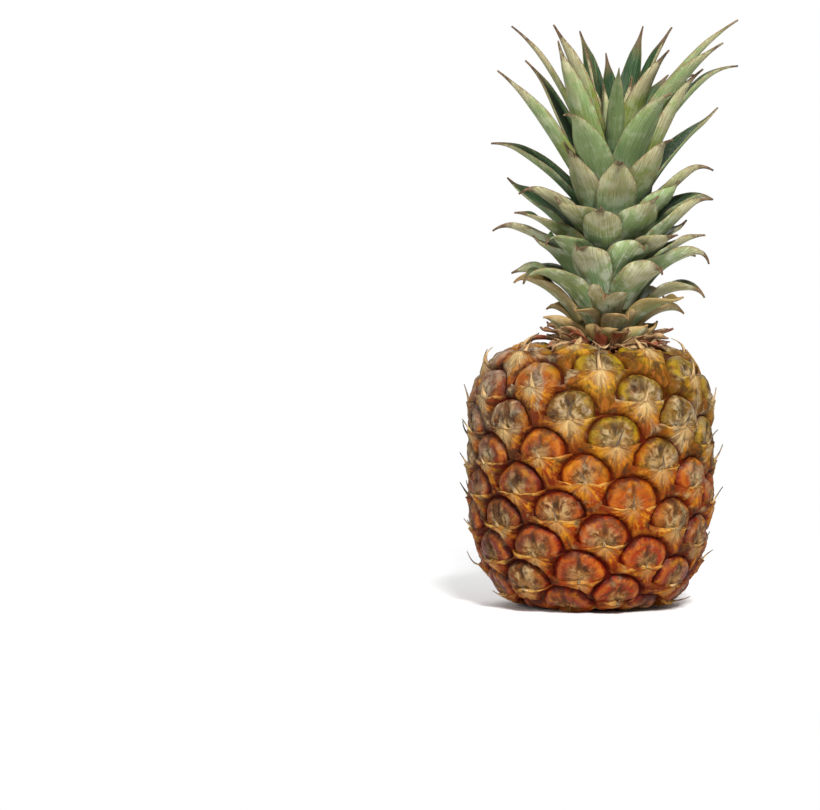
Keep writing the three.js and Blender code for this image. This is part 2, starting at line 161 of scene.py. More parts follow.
# how leaves change from the lowest to the heart, in equal steps
LEAF_LENGTH = [24, 46, 44, 55, 50, 86, 101, 42]
LEAF_WIDTH = [17, 21, 21, 21, 20, 18, 15.5, 10]
LEAF_FULLNESS = [5, 2.6]  # how blunt they are
LEAF_LEAN = [33, 40, 31, 45, 33, 25, 15, 3]  # degrees from upright at the root
LEAF_TIP_LEAN = [88, 104, 74, 65, 55, 45, 50, 3]  # and at the tip
LEAF_CURL = 1.3  # over 1, the leaf bends most near its tip
LEAF_CHANNEL = 0.41  # how far the edges stand in, for each millimetre of half width
LEAF_THINNING = 0.4  # share of the thickness lost at the tip
# how far leaves differ: shares of length and width, degrees of leans and hooks, and the rest
# in the units of what they change; the last four are the scene's own
LEAF_SPREAD = {
    "angle": 0.09, "length": 0.14, "width": 0.07, "lean": 6, "tip_lean": 18, "curl": 0.35,
    "channel": 0.08, "sway": 0.1, "hook": 55, "wave": 0.5, "wave_count": 4, "twist": 0.5,
}
LEAF_SEED = 854.7
STUNT_ITEM = 2397  # the draw that tells which few leaves stay short and narrow
STUNTED_FROM = [0.55, 0.9]
STUNTED_LENGTH = 0.8
STUNTED_WIDTH = 0.6
SCALE_COUNT = 9
FIRST_SCALE_Z = 1.5
SCALE_LENGTH = 21
SCALE_LEAN = [58, 45]
BRACT_COUNT = 28
BRACT_LENGTH = [13, 21]
BRACT_WIDTH = 8.5
BRACT_ROOT_RADIUS = 17.5
LOW_BRACT_LEAN = [68, 104]  # degrees from upright at the root and at the tip
HIGH_BRACT_LEAN = [40, 92]
BRACT_FOOT_Z = 1.2
BRACT_TIER_RISE = 1.4
BRACT_SPREAD = {
    "angle": 0.1, "z": 0.5, "width": 0.15, "lean": 8, "tip_lean": 22, "sway": 0.15,
    "channel": 0.3, "wave": 1.6, "twist": 1.3,
}

# ---- their finer forms ----
LEAF_HOOK = 18  # degrees that an outer leaf's end turns down
LEAF_WAVES = 9  # along a leaf's edges, in radians
BRACT_HOOK = math.radians(70)
FIBRE_COUNT = 96
FIBRE_HOOK = math.radians(80)
FIBRE_SPREAD = {
    "angle": 0.2, "z": 1.5, "length": 5, "width": 1.2, "lean": 28, "tip_lean": 40,
    "sway": 0.5, "twist": 1.5,
}


# ---- numbers ----
def lerp(a, b, share):
    return a + (b - a) * share


def ease(low, high, value):
    """0 below `low`, 1 above `high` and a smooth step between."""
    share = np.clip((value - low) / (high - low), 0, 1)
    return share * share * (3 - 2 * share)


def bell(value, width):
    """1 at 0, falling smoothly away on both sides, to 0.37 at `width`."""
    return np.exp(-((value / width) ** 2))


def along(values, share):
    """The value at `share`, 0 to 1, along a list of equally spaced values."""
    return np.interp(share, np.linspace(0, 1, len(values)), values)


def draw(index, item, seed=4.1):
    """A repeatable draw from -1 to 1 for thing number `index` and property number `item`."""
    x = np.sin(index * 12.9898 + item * 78.233 + seed) * 43758.5453
    return 2 * (x - np.floor(x)) - 1


def ripple(x, y, phase):
    """Smooth bumps between about -1 and 1, one roughly every 6 units, different for each phase."""
    slow = np.sin(x + 1.7 * phase) * np.sin(1.13 * y + 2.9 * phase)
    fast = np.sin(1.9 * x - 1.3 * y + 5.1 * phase) * np.sin(2.3 * y + 0.7 * x + phase)
    return 0.65 * slow + 0.35 * fast


# ---- meshes ----
def add(name, data):
    """A new object in the scene."""
    made = bpy.data.objects.new(name, data)
    bpy.context.scene.collection.objects.link(made)
    return made


def block(columns, rows):
    """A closed block from -1 to 1 each way, cut into columns across X and rows along Y."""
    made = bmesh.new()
    bmesh.ops.create_cube(made, size=2)
    for axis, parts in ((0, columns), (1, rows)):
        lines = [e for e in made.edges if abs(e.verts[0].co[axis] - e.verts[1].co[axis]) > 1]
        bmesh.ops.subdivide_edges(made, edges=lines, cuts=parts - 1, use_grid_fill=True)
    return made


def button(sides, rings):
    """The top of a ball of radius 1, carried a little below its middle and closed flat there."""
    made = bmesh.new()
    bmesh.ops.create_uvsphere(made, u_segments=sides, v_segments=2 * rings, radius=1)
    everything = made.verts[:] + made.edges[:] + made.faces[:]
    bmesh.ops.bisect_plane(
        made, geom=everything, plane_co=(0, 0, -0.3), plane_no=(0, 0, 1), clear_inner=True
    )
    bmesh.ops.holes_fill(made, edges=[edge for edge in made.edges if edge.is_boundary])
    return made


def repeat(shape, count):
    """A mesh of `count` copies of a bmesh, and the x, y and z of their vertices, each with one row
    for each copy."""
    one = bpy.data.meshes.new("one")
    shape.to_mesh(one)
    shape.free()
    many = bmesh.new()
    for _ in range(count):
        many.from_mesh(one)
    mesh = bpy.data.meshes.new("many")
    many.to_mesh(mesh)
    many.free()
    bpy.data.meshes.remove(one)
    places = np.empty(3 * len(mesh.vertices))
    mesh.vertices.foreach_get("co", places)
    return mesh, *np.moveaxis(places.reshape(count, -1, 3), 2, 0)


def finish_piece(name, mesh, places, facts, material, node):
    """Moves the mesh's vertices to `places`, keeps `facts` about each vertex for the material, and
    puts the piece in the place of the part's own node."""
    mesh.vertices.foreach_set("co", (places * MM).ravel())
    for fact, values in facts.items():
        layer = mesh.attributes.new(fact, "FLOAT", "POINT")
        layer.data.foreach_set("value", np.broadcast_to(values, places.shape[:-1]).ravel())
    smooth = bmesh.new()
    smooth.from_mesh(mesh)
    bmesh.ops.recalc_face_normals(smooth, faces=smooth.faces[:])
    smooth.to_mesh(mesh)
    smooth.free()
    mesh.shade_smooth()
    mesh.name = name
    mesh.materials.append(material)
    piece = add(name, mesh)
    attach(piece, "root")
    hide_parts(node)


# ---- materials ----
def paint(code):
    """The colour of a web code such as "c8742a", as a shader needs it."""
    shown = [int(code[i:i + 2], 16) / 255 for i in (0, 2, 4)]
    return (*[(c / 12.92 if c < 0.04045 else ((c + 0.055) / 1.055) ** 2.4) for c in shown], 1)


class Wire:
    """A socket of a material's nodes that gives a value, with Python's own arithmetic."""

    def __init__(self, tree, socket):
        self.tree = tree
        self.socket = socket

    def node(self, kind, inputs, output=0, **settings):
        """The output of a new node of that kind, after its settings and its inputs are given. An
        input is a wire, a value or a colour's web code."""
        made = self.tree.nodes.new("ShaderNode" + kind)
        for name, value in settings.items():
            setattr(made, name, value)
        for name, value in inputs.items():
            if isinstance(value, Wire):
                self.tree.links.new(value.socket, made.inputs[name])
            else:
                made.inputs[name].default_value = paint(value) if isinstance(value, str) else value
        return Wire(self.tree, made.outputs[output])

    def maths(self, operation, *values):
        return self.node("Math", dict(enumerate(values)), operation=operation)

    def __add__(self, other):
        return self.maths("ADD", self, other)

    def __sub__(self, other):
        return self.maths("SUBTRACT", self, other)

    def __rsub__(self, other):
        return self.maths("SUBTRACT", other, self)

    def __mul__(self, other):
        return self.maths("MULTIPLY", self, other)

    def __truediv__(self, other):
        return self.maths("DIVIDE", self, other)

    def __pow__(self, other):
        return self.maths("POWER", self, other)

    def __abs__(self):
        return self.maths("ABSOLUTE", self)

    __radd__ = __add__
    __rmul__ = __mul__

    def swing(self, amount):
        """This noise moved about 0, so that it adds and takes away up to half of `amount`."""
        return (self - 0.5) * amount

    def step(self, low, high):
        """0 up to `low`, then a smooth step, and 1 from `high` on. Where `low` is the greater it
        falls: 1 up to `high`, and 0 from `low` on."""
        inputs = {"Value": self, "From Min": low, "From Max": high}
        return self.node("MapRange", inputs, interpolation_type="SMOOTHSTEP")

    def mix(self, low, high, blend="MIX"):
        """The colour `low` where this value is 0 and `high`, blended with it, where it is 1."""
        sockets = {0: self, 6: low, 7: high}  # the node's factor and its two colours
        return self.node("Mix", sockets, output=2, data_type="RGBA", blend_type=blend)


class Finish(Wire):
    """A material in the making, from which the first wires of its pattern come."""

    def __init__(self, name):
        self.material = bpy.data.materials.new(name)
        self.material.use_nodes = True
        super().__init__(self.material.node_tree, None)
        self.shader = self.tree.nodes["Principled BSDF"]
        self.place = self.node("TexCoord", {}, output="Object")

    def fact(self, name):
        """What the mesh says about each of its points under that name."""
        return self.node("Attribute", {}, output="Fac", attribute_name=name)

    def facts(self, names):
        """The same for several names, parted by spaces."""
        return [self.fact(name) for name in names.split()]

    def axis(self, number):
        """The point's x, y or z in millimetres."""
        return self.node("SeparateXYZ", {0: self.place}, output=number) / MM

    def vector(self, x, y, z):
        return self.node("CombineXYZ", {0: x, 1: y, 2: z})

    def grain(self, size, detail=3, vector=None, distortion=0):
        """Cloudy noise from 0 to 1, its lumps of that size in millimetres or the vector's units."""
        inputs = {
            "Vector": vector or self.place, "Scale": 1 / size if vector else 1 / (size * MM),
            "Detail": detail, "Distortion": distortion,
        }
        return self.node("TexNoise", inputs, output="Fac")

    def done(self, colour, roughness, height, depth, **fixed):
        """Sets the shader: `height` runs from 0 to 1 and stands `depth` millimetres proud at 1."""
        inputs = {"Height": height, "Distance": depth * MM, "Strength": 1.0}
        bump = self.node("Bump", inputs, output="Normal")
        for name, value in {"Base Color": colour, "Roughness": roughness, "Normal": bump}.items():
            self.tree.links.new(value.socket, self.shader.inputs[name])
        for name, value in fixed.items():
            self.shader.inputs[name.replace("_", " ")].default_value = value
        return self.material


GROOVE_SHADE = "3a1305"  # painted shade at the bottom of the groove round a dome
GROOVE_RED_AND_SHADE = "b05a33"  # reddens what lies towards the groove, and darkens it there as painted shade


def lowness(finish):
    """0 at the shoulder, rising to 1 below the middle, where the fruit is warmer in colour."""
    return finish.axis(2).step(105, 50)


def ripe_colour(finish, flush=0, lift=0):
    """The rind's own colour: golden olive at the shoulder, orange at the middle, red low down and
    on the flanks, the left above all, and a little different on every eye. `flush` brings the
    flanks' red that much further in, and `lift` shifts the rest as if the place were higher."""
    own = finish.fact("eye_draw")
    change = own * 20 + finish.grain(24).swing(80) + finish.grain(4, 4).swing(36)
    level = finish.axis(2) + change + lift
    right = finish.axis(0) * 0.35
    warm = (level + right).step(108, 78).mix("806808", "9a5204")
    hot = level.step(80, 30).mix(warm, "862a02")
    low_right = finish.axis(0) - finish.axis(2) * 0.7
    flank = finish.maths("MAXIMUM", finish.axis(0) * -1, low_right)
    side = (flank + finish.grain(13, 3).swing(70) + own * 9 + flush).step(4, 36)
    hot = (side * 0.85).mix(hot, "661b12")
    blush = (finish.grain(6, 4) + finish.grain(1.6, 3).swing(0.3)).step(0.56, 0.68)
    hot = (blush * 0.5).mix(hot, "7a2206")
    glow = finish.grain(5.5, 3, distortion=1).step(0.55, 0.7)
    return (glow * 0.5).mix(hot, "b0740c")


def weather(finish):
    """Where the rind is weathered grey: in patches, mostly on the flanks and the left shoulder."""
    flank = abs(finish.axis(0) + 4).step(30, 58) * 0.12
    shoulder = (finish.axis(2) - finish.axis(0) * 1.2).step(95, 165) * 0.12
    return (finish.grain(9, 5) + flank + shoulder).step(0.6, 0.72)


def soot_and_shade(finish):
    """Where the rind is blackened, partly as painted shade: in patches, more of them on the flanks,
    which it darkens as painted shade.
    """
    flank = abs(finish.axis(0) - 12).step(22, 60) * 0.08
    return (finish.grain(6, 6, distortion=0.5) + flank).step(0.52, 0.66)


def rind_finish():
    """The domes: a waxy coloured rim, with painted highlight and painted shade, round a dry,
    grey-brown, creased middle.
    """
    finish = Finish("eye_rind")
    reach, up, side, ray, far, dryness = finish.facts("reach up side ray far dryness")
    eye = finish.fact("eye_draw") * 31
    low = lowness(finish)
    mottle = finish.grain(2.4, 6, distortion=0.7)
    patch = finish.grain(5, 4, distortion=0.5)
    spokes = finish.grain(1, 4, finish.vector(ray * 3.4, far * 0.28, eye), 0.6)
    fine = finish.grain(1, 3, finish.vector(ray * 8, far * 0.4, eye + 4), 0.7)
    # the ripe rim: golden and lightened by a painted highlight on its crest, redder and in painted
    # shade outside it, and painted shade in the groove
    rough_reach = reach + mottle.swing(0.22) + patch.swing(0.12)
    ripe = ripe_colour(finish)
    # painted highlight: the rim's crest is lightened where it catches the light, as well as made
    # more golden
    crest = abs(rough_reach - 0.74).step(0.15, 0.03)
    ripe = (crest * 0.6).mix(ripe, "6b4a14", "SCREEN")
    # painted shade: the rim's outer side is darkened as well as reddened towards the groove
    outer = rough_reach.step(0.8, 0.95)
    ripe = (outer * (0.45 + low * 0.45)).mix(ripe, GROOVE_RED_AND_SHADE, "MULTIPLY")
    # the dry middle: pale cushions beside a dark crease, and cracks that spread from the heart
    edge = reach + patch.swing(1.1) + spokes.swing(0.4) + mottle.swing(0.4)
    middle = (edge - dryness * 0.32 + low * 0.07).step(0.86, 0.44)
    tone = spokes * 0.6 + patch * 0.6 - 0.1
    dry = tone.step(0.36, 0.64).mix("44301a", "7c5f3a")
    dry = (patch.step(0.52, 0.36) * 0.5).mix(dry, "874f10")
    dry = (low * 0.4).mix(dry, "e0ac78", "MULTIPLY")
    flank = abs(side + patch.swing(3))
    plump = (spokes * 0.7 + patch * 0.5 - 0.1).step(0.4, 0.62)
    cushion = flank.step(0.9, 2.6) * flank.step(8, 4) * plump
    dry = (cushion * (0.62 + dryness * 0.25)).mix(dry, "bea886")
    dry = (fine.step(0.54, 0.74) * 0.3).mix(dry, "b39c6a")
    cracks = (spokes + mottle.swing(0.2)).step(0.44, 0.3)
    dry = (cracks * 0.75).mix(dry, "2d2015")
    colour = (middle * (0.55 + mottle * 0.5)).mix(ripe, dry)
    line = abs(side + finish.grain(5).swing(2.4)).step(1.9, 0.2)
    crease = line * up.step(-1, 1.5) * reach.step(0.95, 0.6)
    colour = (crease * 0.6).mix(colour, "35261d")
    # the pale heart, painted shadow at the top, blackened patches that are partly painted shade,
    # painted shade in the groove, and what has weathered on the whole dome
    pale = (far + spokes.swing(9)).step(4.6, 1.6)
    colour = (pale * 0.6).mix(colour, low.mix("c8ac78", "bc9468"))
    # painted shadow: the dome's top is darkened where the bract of the eye above overhangs it
    shade = up.step(2, 8) * (patch + mottle.swing(0.6)).step(0.46, 0.58)
    colour = (shade * 0.6).mix(colour, "30231a")
    # blackened patches, partly painted shade, more of them on the flanks
    colour = (soot_and_shade(finish) * (0.45 + middle * 0.2)).mix(colour, "291d15")
    # painted shade: dark at the bottom of the groove round the dome
    colour = (reach + mottle.swing(0.14)).step(0.93, 0.99).mix(colour, GROOVE_SHADE)
    grey = mottle.step(0.35, 0.65).mix("6a5642", "b3a288")
    colour = (weather(finish) * (0.3 + middle * 0.35)).mix(colour, grey)
    colour = (low * 0.6).mix(colour, "fff2b4", "MULTIPLY")
    roughness = 0.42 + middle * 0.28 + mottle.swing(0.25)
    height = mottle * 0.7 + spokes * middle * 0.8 + fine * middle * 0.3 + finish.grain(0.7, 3) * 0.3
    return finish.done(colour, roughness, height, 1.1, Specular_IOR_Level=0.14)


def bract_finish():
    """The bracts under the eyes: straw-coloured and dry round the point, ripe further out and
    darkened there by painted shade towards the grooves, with streaks that spread from the point."""
    finish = Finish("eye_bract")
    far, fan, moat, dryness = finish.facts("far fan moat dryness")
    eye = finish.fact("eye_draw") * 23
    low = lowness(finish)
    streaks = finish.grain(1, 4, finish.vector(fan * 4.5, far * 0.09, eye), 0.5)
    fine = finish.grain(1, 3, finish.vector(fan * 15, far * 0.2, eye + 3), 0.5)
    mottle = finish.grain(3, 5, distortion=0.6)
    tone = streaks * 0.6 + mottle * 0.8 - 0.2
    straw = tone.step(0.38, 0.64).mix("633e1c", "c29c62")
    straw = (fine.step(0.54, 0.68) * 0.6).mix(straw, "ecd4a2")
    straw = (fine.step(0.43, 0.3) * 0.3).mix(straw, "44260d")
    straw = (low * 0.5).mix(straw, "e0a468", "MULTIPLY")
    gold = (streaks + mottle.swing(0.6)).step(0.46, 0.62)
    ripe = (gold * 0.6).mix(ripe_colour(finish, flush=4, lift=-10), "c88a1c")
    # painted shade: the ripe colour darkens further out, towards the neighbours' grooves
    ripe = (far.step(7, 13) * 0.85).mix(ripe, "a46c46", "MULTIPLY")
    spread = far * (0.9 + abs(fan) * 0.35) + mottle.swing(18) + streaks.swing(9)
    spread = spread - dryness * 3 + low * 3.5
    colour = (spread.step(2, 8) * 0.55).mix(straw, "885020")
    colour = (spread.step(5, 12) * 0.9).mix(colour, ripe)
    # a pale star at the point, a lip in light and dark strips, cracks and a crease
    near = (far + streaks.swing(14) - dryness * 1.5).step(8, 2)
    star = near * (abs(fan) + mottle.swing(1.4)).step(1.3, 0.4)
    light = low.mix("dcbe80", "cc9c6c")
    colour = (star * (0.55 - low * 0.12)).mix(colour, light)
    edge = (abs(fan) + mottle.swing(0.6)).step(1.3, 1.5) * (far + mottle.swing(14)).step(14, 7)
    colour = (edge * streaks.step(0.42, 0.58) * 0.45).mix(colour, "c6a868")
    colour = (edge * streaks.step(0.5, 0.36) * 0.55).mix(colour, "4a260f")
    cracks = finish.grain(1, 2, finish.vector(fan * 6, far * 0.03, eye + 8)).step(0.41, 0.34)
    colour = (cracks * far.step(1, 3) * far.step(10, 6) * 0.45).mix(colour, "2d1c0d")
    crease = (abs(fan + streaks.swing(0.3)) * far).step(0.9, 0.15) * far.step(1.0, 3.5)
    colour = (crease * 0.35).mix(colour, "3b200e")
    # what has weathered, blackened patches that are partly painted shade, and painted shade in the
    # groove round the next domes
    grey = fine.step(0.35, 0.65).mix("67543c", "ad9b78")
    colour = (weather(finish) * 0.6).mix(colour, grey)
    colour = (soot_and_shade(finish) * far.step(3, 9) * 0.7).mix(colour, "2b2016")
    # painted shade: redder and darker towards the groove round the next domes, and dark at its
    # bottom
    colour = (moat.step(0.15, 0.7) * (0.4 + low * 0.4)).mix(colour, GROOVE_RED_AND_SHADE, "MULTIPLY")
    colour = ((moat + mottle.swing(0.6)).step(0.78, 1.05) * 0.9).mix(colour, GROOVE_SHADE)
    colour = (low * 0.5).mix(colour, "fff4b4", "MULTIPLY")
    height = streaks * 0.9 + fine * 0.5 + finish.grain(0.6, 3) * 0.2 + mottle * 0.5
    return finish.done(colour, 0.5 + mottle * 0.3, height, 0.7, Specular_IOR_Level=0.06)


def groove_finish():
    """The fruit's skin between the eyes, darkened as painted shade of the grooves, and dry bark
    round the stalk.
    """
    finish = Finish("groove")
    mottle = finish.grain(3, 5)
    ripe = ripe_colour(finish, flush=8, lift=-10)
    # painted shade: the skin, which shows only deep in the grooves, is darkened
    ripe = (0.75 + mottle * 0.4).mix(ripe, "7a3c20", "MULTIPLY")
    bark = mottle.step(0.4, 0.65).mix("35190c", "6b4526")
    colour = finish.axis(2).step(12, 6).mix(ripe, bark)
    return finish.done(colour, 0.5 + mottle * 0.3, mottle, 0.8, Specular_IOR_Level=0.06)


def spine_finish():
    """The bracts' dry points: straw at the root and dark and wiry beyond."""
    finish = Finish("dry_point")
    far, side, own = finish.facts("far side eye_draw")
    fibre = finish.grain(1, 3, finish.vector(side * 3, far * 0.4, own * 9))
    straw = fibre.step(0.35, 0.65).mix("86643c", "c9a874")
    dark = fibre.step(0.35, 0.65).mix("3a291d", "77603f")
    high = finish.axis(2).step(98, 112) * 4
    colour = (far + fibre.swing(2) + own - high).step(1.6, 4.5).mix(straw, dark)
    return finish.done(colour, 0.55 + fibre * 0.3, fibre, 0.25)


def leaf_finish():
    """The crown's leaves: pale sage with bloom outside, deep green inside, dry towards the tips."""
    finish = Finish("crown_leaf")
    share, far, side, rim = finish.facts("along far side rim")
    inner, age, chance = finish.facts("inner age leaf_draw")
    own = chance * 37
    ribs = finish.grain(1, 3, finish.vector(side * 2.3, far * 0.05, own))
    fine = finish.grain(1, 2, finish.vector(side * 6.5, far * 0.12, own + 5))
    cloud = finish.grain(9, 3, finish.vector(side, far * 0.55, own))
    spots = finish.grain(2.2, 3, finish.vector(side, far, own + 9))
    # outside
    green = (share + cloud.swing(0.6)).step(0.05, 0.55).mix("688e68", "9cb278")
    sunny = finish.grain(22, 3, finish.vector(side * 0.8, far * 0.8, own + 2)) + chance * 0.14
    green = (sunny.step(0.46, 0.64) * (0.5 + age * 0.4)).mix(green, "949c38")
    green = (ribs.step(0.42, 0.66) * 0.4).mix(green, "b0b894")
    green = (fine.step(0.5, 0.36) * 0.4).mix(green, "4f653c")
    bloom = (finish.grain(6, 4) + ribs.swing(0.5) + chance * 0.06).step(0.44, 0.66)
    outside = (bloom * (0.95 - age * 0.7)).mix(green, "dde2c6")
    outside = (age * 0.8).mix(outside, "c6d0b4", "MULTIPLY")
    tan = fine.step(0.35, 0.65).mix("9a8965", "d0c4a0")
    spent = share + cloud.swing(0.8) + spots.swing(0.3) + chance * 0.2 - age * 0.08
    dry = spent.step(0.5, 0.84)
    outside = (dry * (0.5 + age * 0.3)).mix(outside, tan)
    # inside
    stripe = (ribs + fine.swing(0.3)).step(0.55, 0.68)
    inside = (stripe * 0.4).mix("203a1a", "76905c")
    inside = ((share + cloud.swing(0.5)).step(0.75, 1.0) * 0.7).mix(inside, "6d6440")
    colour = inner.mix(outside, inside)
    # both: brown rims and tips, a pale foot, painted shade deep in the crown over the leaves' own
    # bluish green, and dry scales
    colour = (rim.step(0.86, 0.98) * spots.step(0.38, 0.58) * 0.6).mix(colour, "86694a")
    brown = fine.step(0.35, 0.65).mix("3a281e", "75593f")
    end = (share + spots.swing(0.2) + chance * 0.05 - age * 0.04).step(0.82, 0.94)
    colour = (end * 0.9).mix(colour, brown)
    foot = (far + spots.swing(4) + age * 8).step(9, 2)
    colour = (foot * 0.5).mix(colour, "a7a26a")
    # painted shade: the high leaves darken deep in the crown, partly their own bluish green
    deep = (far + cloud.swing(24)).step(40, 8) * age.step(0.35, 0.8)
    colour = (deep * 0.8).mix(colour, "648a76", "MULTIPLY")
    lowest = (age + cloud.swing(0.12)).step(0.16, 0.04)
    scaly = lowest * (rim + spots.swing(0.6)).step(0.1, 0.8)
    colour = (scaly * 0.75).mix(colour, "a98650")
    roughness = 0.5 + bloom * 0.16 - inner * 0.12 + dry * 0.1
    height = ribs * 0.8 + fine * 0.45 + spots * 0.12
    return finish.done(colour, roughness, height, 0.45, Specular_IOR_Level=0.25)


def dry_bract_finish():
    """The collar's bracts: papery, reddish brown to tan."""
    finish = Finish("dry_bract")
    share, far, side, chance = finish.facts("along far side leaf_draw")
    fibre = finish.grain(1, 3, finish.vector(side * 3.4, far * 0.16, chance * 29))
    cloud = finish.grain(6, 3) + chance * 0.16
    colour = fibre.step(0.34, 0.66).mix("5c3d28", "b88f63")
    colour = (cloud.step(0.47, 0.62) * 0.75).mix(colour, "cfae7c")
    colour = (cloud.step(0.46, 0.34) * 0.7).mix(colour, "a2462a")
    colour = (share.step(0.7, 1.0) * 0.6).mix(colour, "4a2c1e")
    return finish.done(colour, 0.55 + fibre * 0.3, fibre, 0.5)


def stalk_finish():
    """The stump: pale cut fibre, darker in patches and towards its rim, and dry bark round it."""
    finish = Finish("cut_stalk")
    x = finish.axis(0)
    y = finish.axis(1)
    radius = (x * x + y * y) ** 0.5
    fibre = finish.grain(0.9, 4)
    patch = finish.grain(4, 4, distortion=0.8)
    sound = (fibre * 0.6 + patch * 0.5 - radius * 0.012).step(0.3, 0.62)
    face = sound.mix("80603a", "cdb382")
    bark = (radius + fibre.swing(2)).step(10.2, 11.6)
    colour = bark.mix(face, "6b4a2c")
    return finish.done(colour, 0.7 + fibre * 0.25, fibre, 0.8)


# ---- the fruit ----
def spline(points, steps=60):
    """Points along a smooth curve through the given ones."""
    knots = np.vstack([points[:1], points, points[-1:]])
    t = np.linspace(0, 1, steps, endpoint=False)[:, None]
    spans = []
    for p0, p1, p2, p3 in zip(knots, knots[1:], knots[2:], knots[3:]):
        v0, v1 = (p2 - p0) / 2, (p3 - p1) / 2
        cubic = 2 * (p1 - p2) + v0 + v1
        square = 3 * (p2 - p1) - 2 * v0 - v1
        spans.append(cubic * t**3 + square * t**2 + v0 * t + p1)
    return np.vstack([*spans, points[-1:]])


def outline_table(count):
    """The outline in equal steps from the base up: radius, height, the normal's two parts, and the
    skin's area below; then the outline's length."""
    curve = spline(np.array(OUTLINE, float))
    run = np.append(0, np.cumsum(np.linalg.norm(np.diff(curve, axis=0), axis=1)))
    steps = np.linspace(0, run[-1], count + 1)
    radius, z = (np.interp(steps, run, curve[:, i]) for i in (0, 1))
    length = np.hypot(np.gradient(radius), np.gradient(z))
    out, up = np.gradient(z) / length, -np.gradient(radius) / length
    bands = math.pi * (radius[1:] + radius[:-1]) * run[-1] / count
    return (np.maximum(radius, 0), z, out, up, np.append(0, np.cumsum(bands))), run[-1]


TABLE, OUTLINE_LENGTH = outline_table(OUTLINE_STEPS)
SHARES = np.linspace(0, 1, OUTLINE_STEPS + 1)


def on_fruit(share, angle, height):
    """Places at `height` over the smooth fruit, lowered where the crown is seated and pressed
    almost flat at the base, without any two heights becoming one. `share` runs up the outline."""
    radius, z, out, up = (np.interp(share, SHARES, column) for column in TABLE[:4])
    smooth_x, smooth_y = radius * np.sin(angle), -radius * np.cos(angle)
    from_crown = np.hypot(smooth_x - CROWN_FOOT[0], smooth_y)
    seated = ease(SEAT_RADIUS, SEAT_RADIUS - SEAT_FADE, from_crown)
    height = height - seated * ease(*SEAT_FROM_Z, z) * np.maximum(height + 1, 0)
    reach = radius + out * height
    places = np.stack([reach * np.sin(angle), -reach * np.cos(angle), z + up * height], axis=-1)
    places[..., 2] = BASE_PRESS * np.logaddexp(0, places[..., 2] / BASE_PRESS)
    return places


def find_eyes():
    """Every eye's number, share, angle, size, middle and own axes: across, up and out."""
    rows = []
    count = int((TABLE[4][-1] - FIRST_EYE_AREA) / EYE_AREA)
    for k in range(count):
        regular = np.interp(TABLE[4][-1] - FIRST_EYE_AREA - EYE_AREA * k, TABLE[4], SHARES)
        turn = FIRST_EYE_ANGLE + EYE_TURN * k
        drift = math.sin(math.pi * regular)
        share = regular + DRIFT_RISE / OUTLINE_LENGTH * drift * math.cos(turn - DRIFT_RISE_ANGLE)
        angle = turn + DRIFT_TURN * drift * math.cos(turn - DRIFT_TURN_ANGLE)
        radius, z, out, up = (np.interp(share, SHARES, column) for column in TABLE[:4])
        if radius < (LEAST_EYE_RADIUS_TOP if share > 0.5 else LEAST_EYE_RADIUS_BASE):
            continue
        radial = np.array([math.sin(angle), -math.cos(angle), 0])
        outward = radial * out + np.array([0, 0, up])
        across = np.array([math.cos(angle), math.sin(angle), 0])
        middle = radial * radius + np.array([0, 0, z])
        axes = (across, np.cross(outward, across), outward)
        rows.append((k, share, angle, 1 + EYE_SIZE_SPREAD * draw(k, 1), middle, *axes))
    return [np.array(column) for column in zip(*rows)]


EYE, EYE_SHARE, EYE_ANGLE, EYE_SIZE, EYE_MIDDLE, EYE_ACROSS, EYE_UP, EYE_OUT = find_eyes()
EYE_COUNT = len(EYE)


def of_eye(values):
    """One value for each eye, as a column beside the vertices of that eye's copy."""
    return values[:, None]


def lip_line(u):
    """Where an eye's lip stands on its own v, for each u."""
    return LIP_Y + LIP_POINT * bell(u, LIP_POINT_WIDTH)


def neighbours(points):
    """How deep the moats round the other eyes' domes are at each point, and how far it is inside
    one of those domes, both from 0 to 1. `points` holds a row for each eye."""
    moat = np.zeros(points.shape[:-1])
    inside = np.zeros(points.shape[:-1])
    for k in range(EYE_COUNT):
        local = points - EYE_MIDDLE[k]
        u = local @ EYE_ACROSS[k] / EYE_SIZE[k]
        v = local @ EYE_UP[k] / EYE_SIZE[k]
        reach = np.hypot(u / (EYE_WIDTH / 2), (v + DOME_DROP) / (EYE_HEIGHT / 2))
        same_side = local @ EYE_OUT[k] > -EYE_WIDTH
        above = np.clip((v - lip_line(u)) / MOAT_FADE + 1, 0, 1) * same_side
        above[k] = 0
        moat = np.maximum(moat, above * bell(reach - 1, MOAT_WIDTH))
        inside = np.maximum(inside, above * ease(1, 0.88, reach))
    return moat, inside


def eye_place(u, v, height, sink):
    """Places over the fruit from each eye's own u and v, lowered by the moats and, by `sink`, where
    another dome covers them; and how deep the moats are there."""
    share = of_eye(EYE_SHARE) + v * of_eye(EYE_SIZE) / OUTLINE_LENGTH
    radius = np.maximum(np.interp(share, SHARES, TABLE[0]), LEAST_WRAP_RADIUS)
    angle = of_eye(EYE_ANGLE) + u * of_eye(EYE_SIZE) / radius
    moat, inside = neighbours(on_fruit(share, angle, np.zeros_like(u)))
    return on_fruit(share, angle, height - MOAT_DEPTH * moat - sink * inside), moat


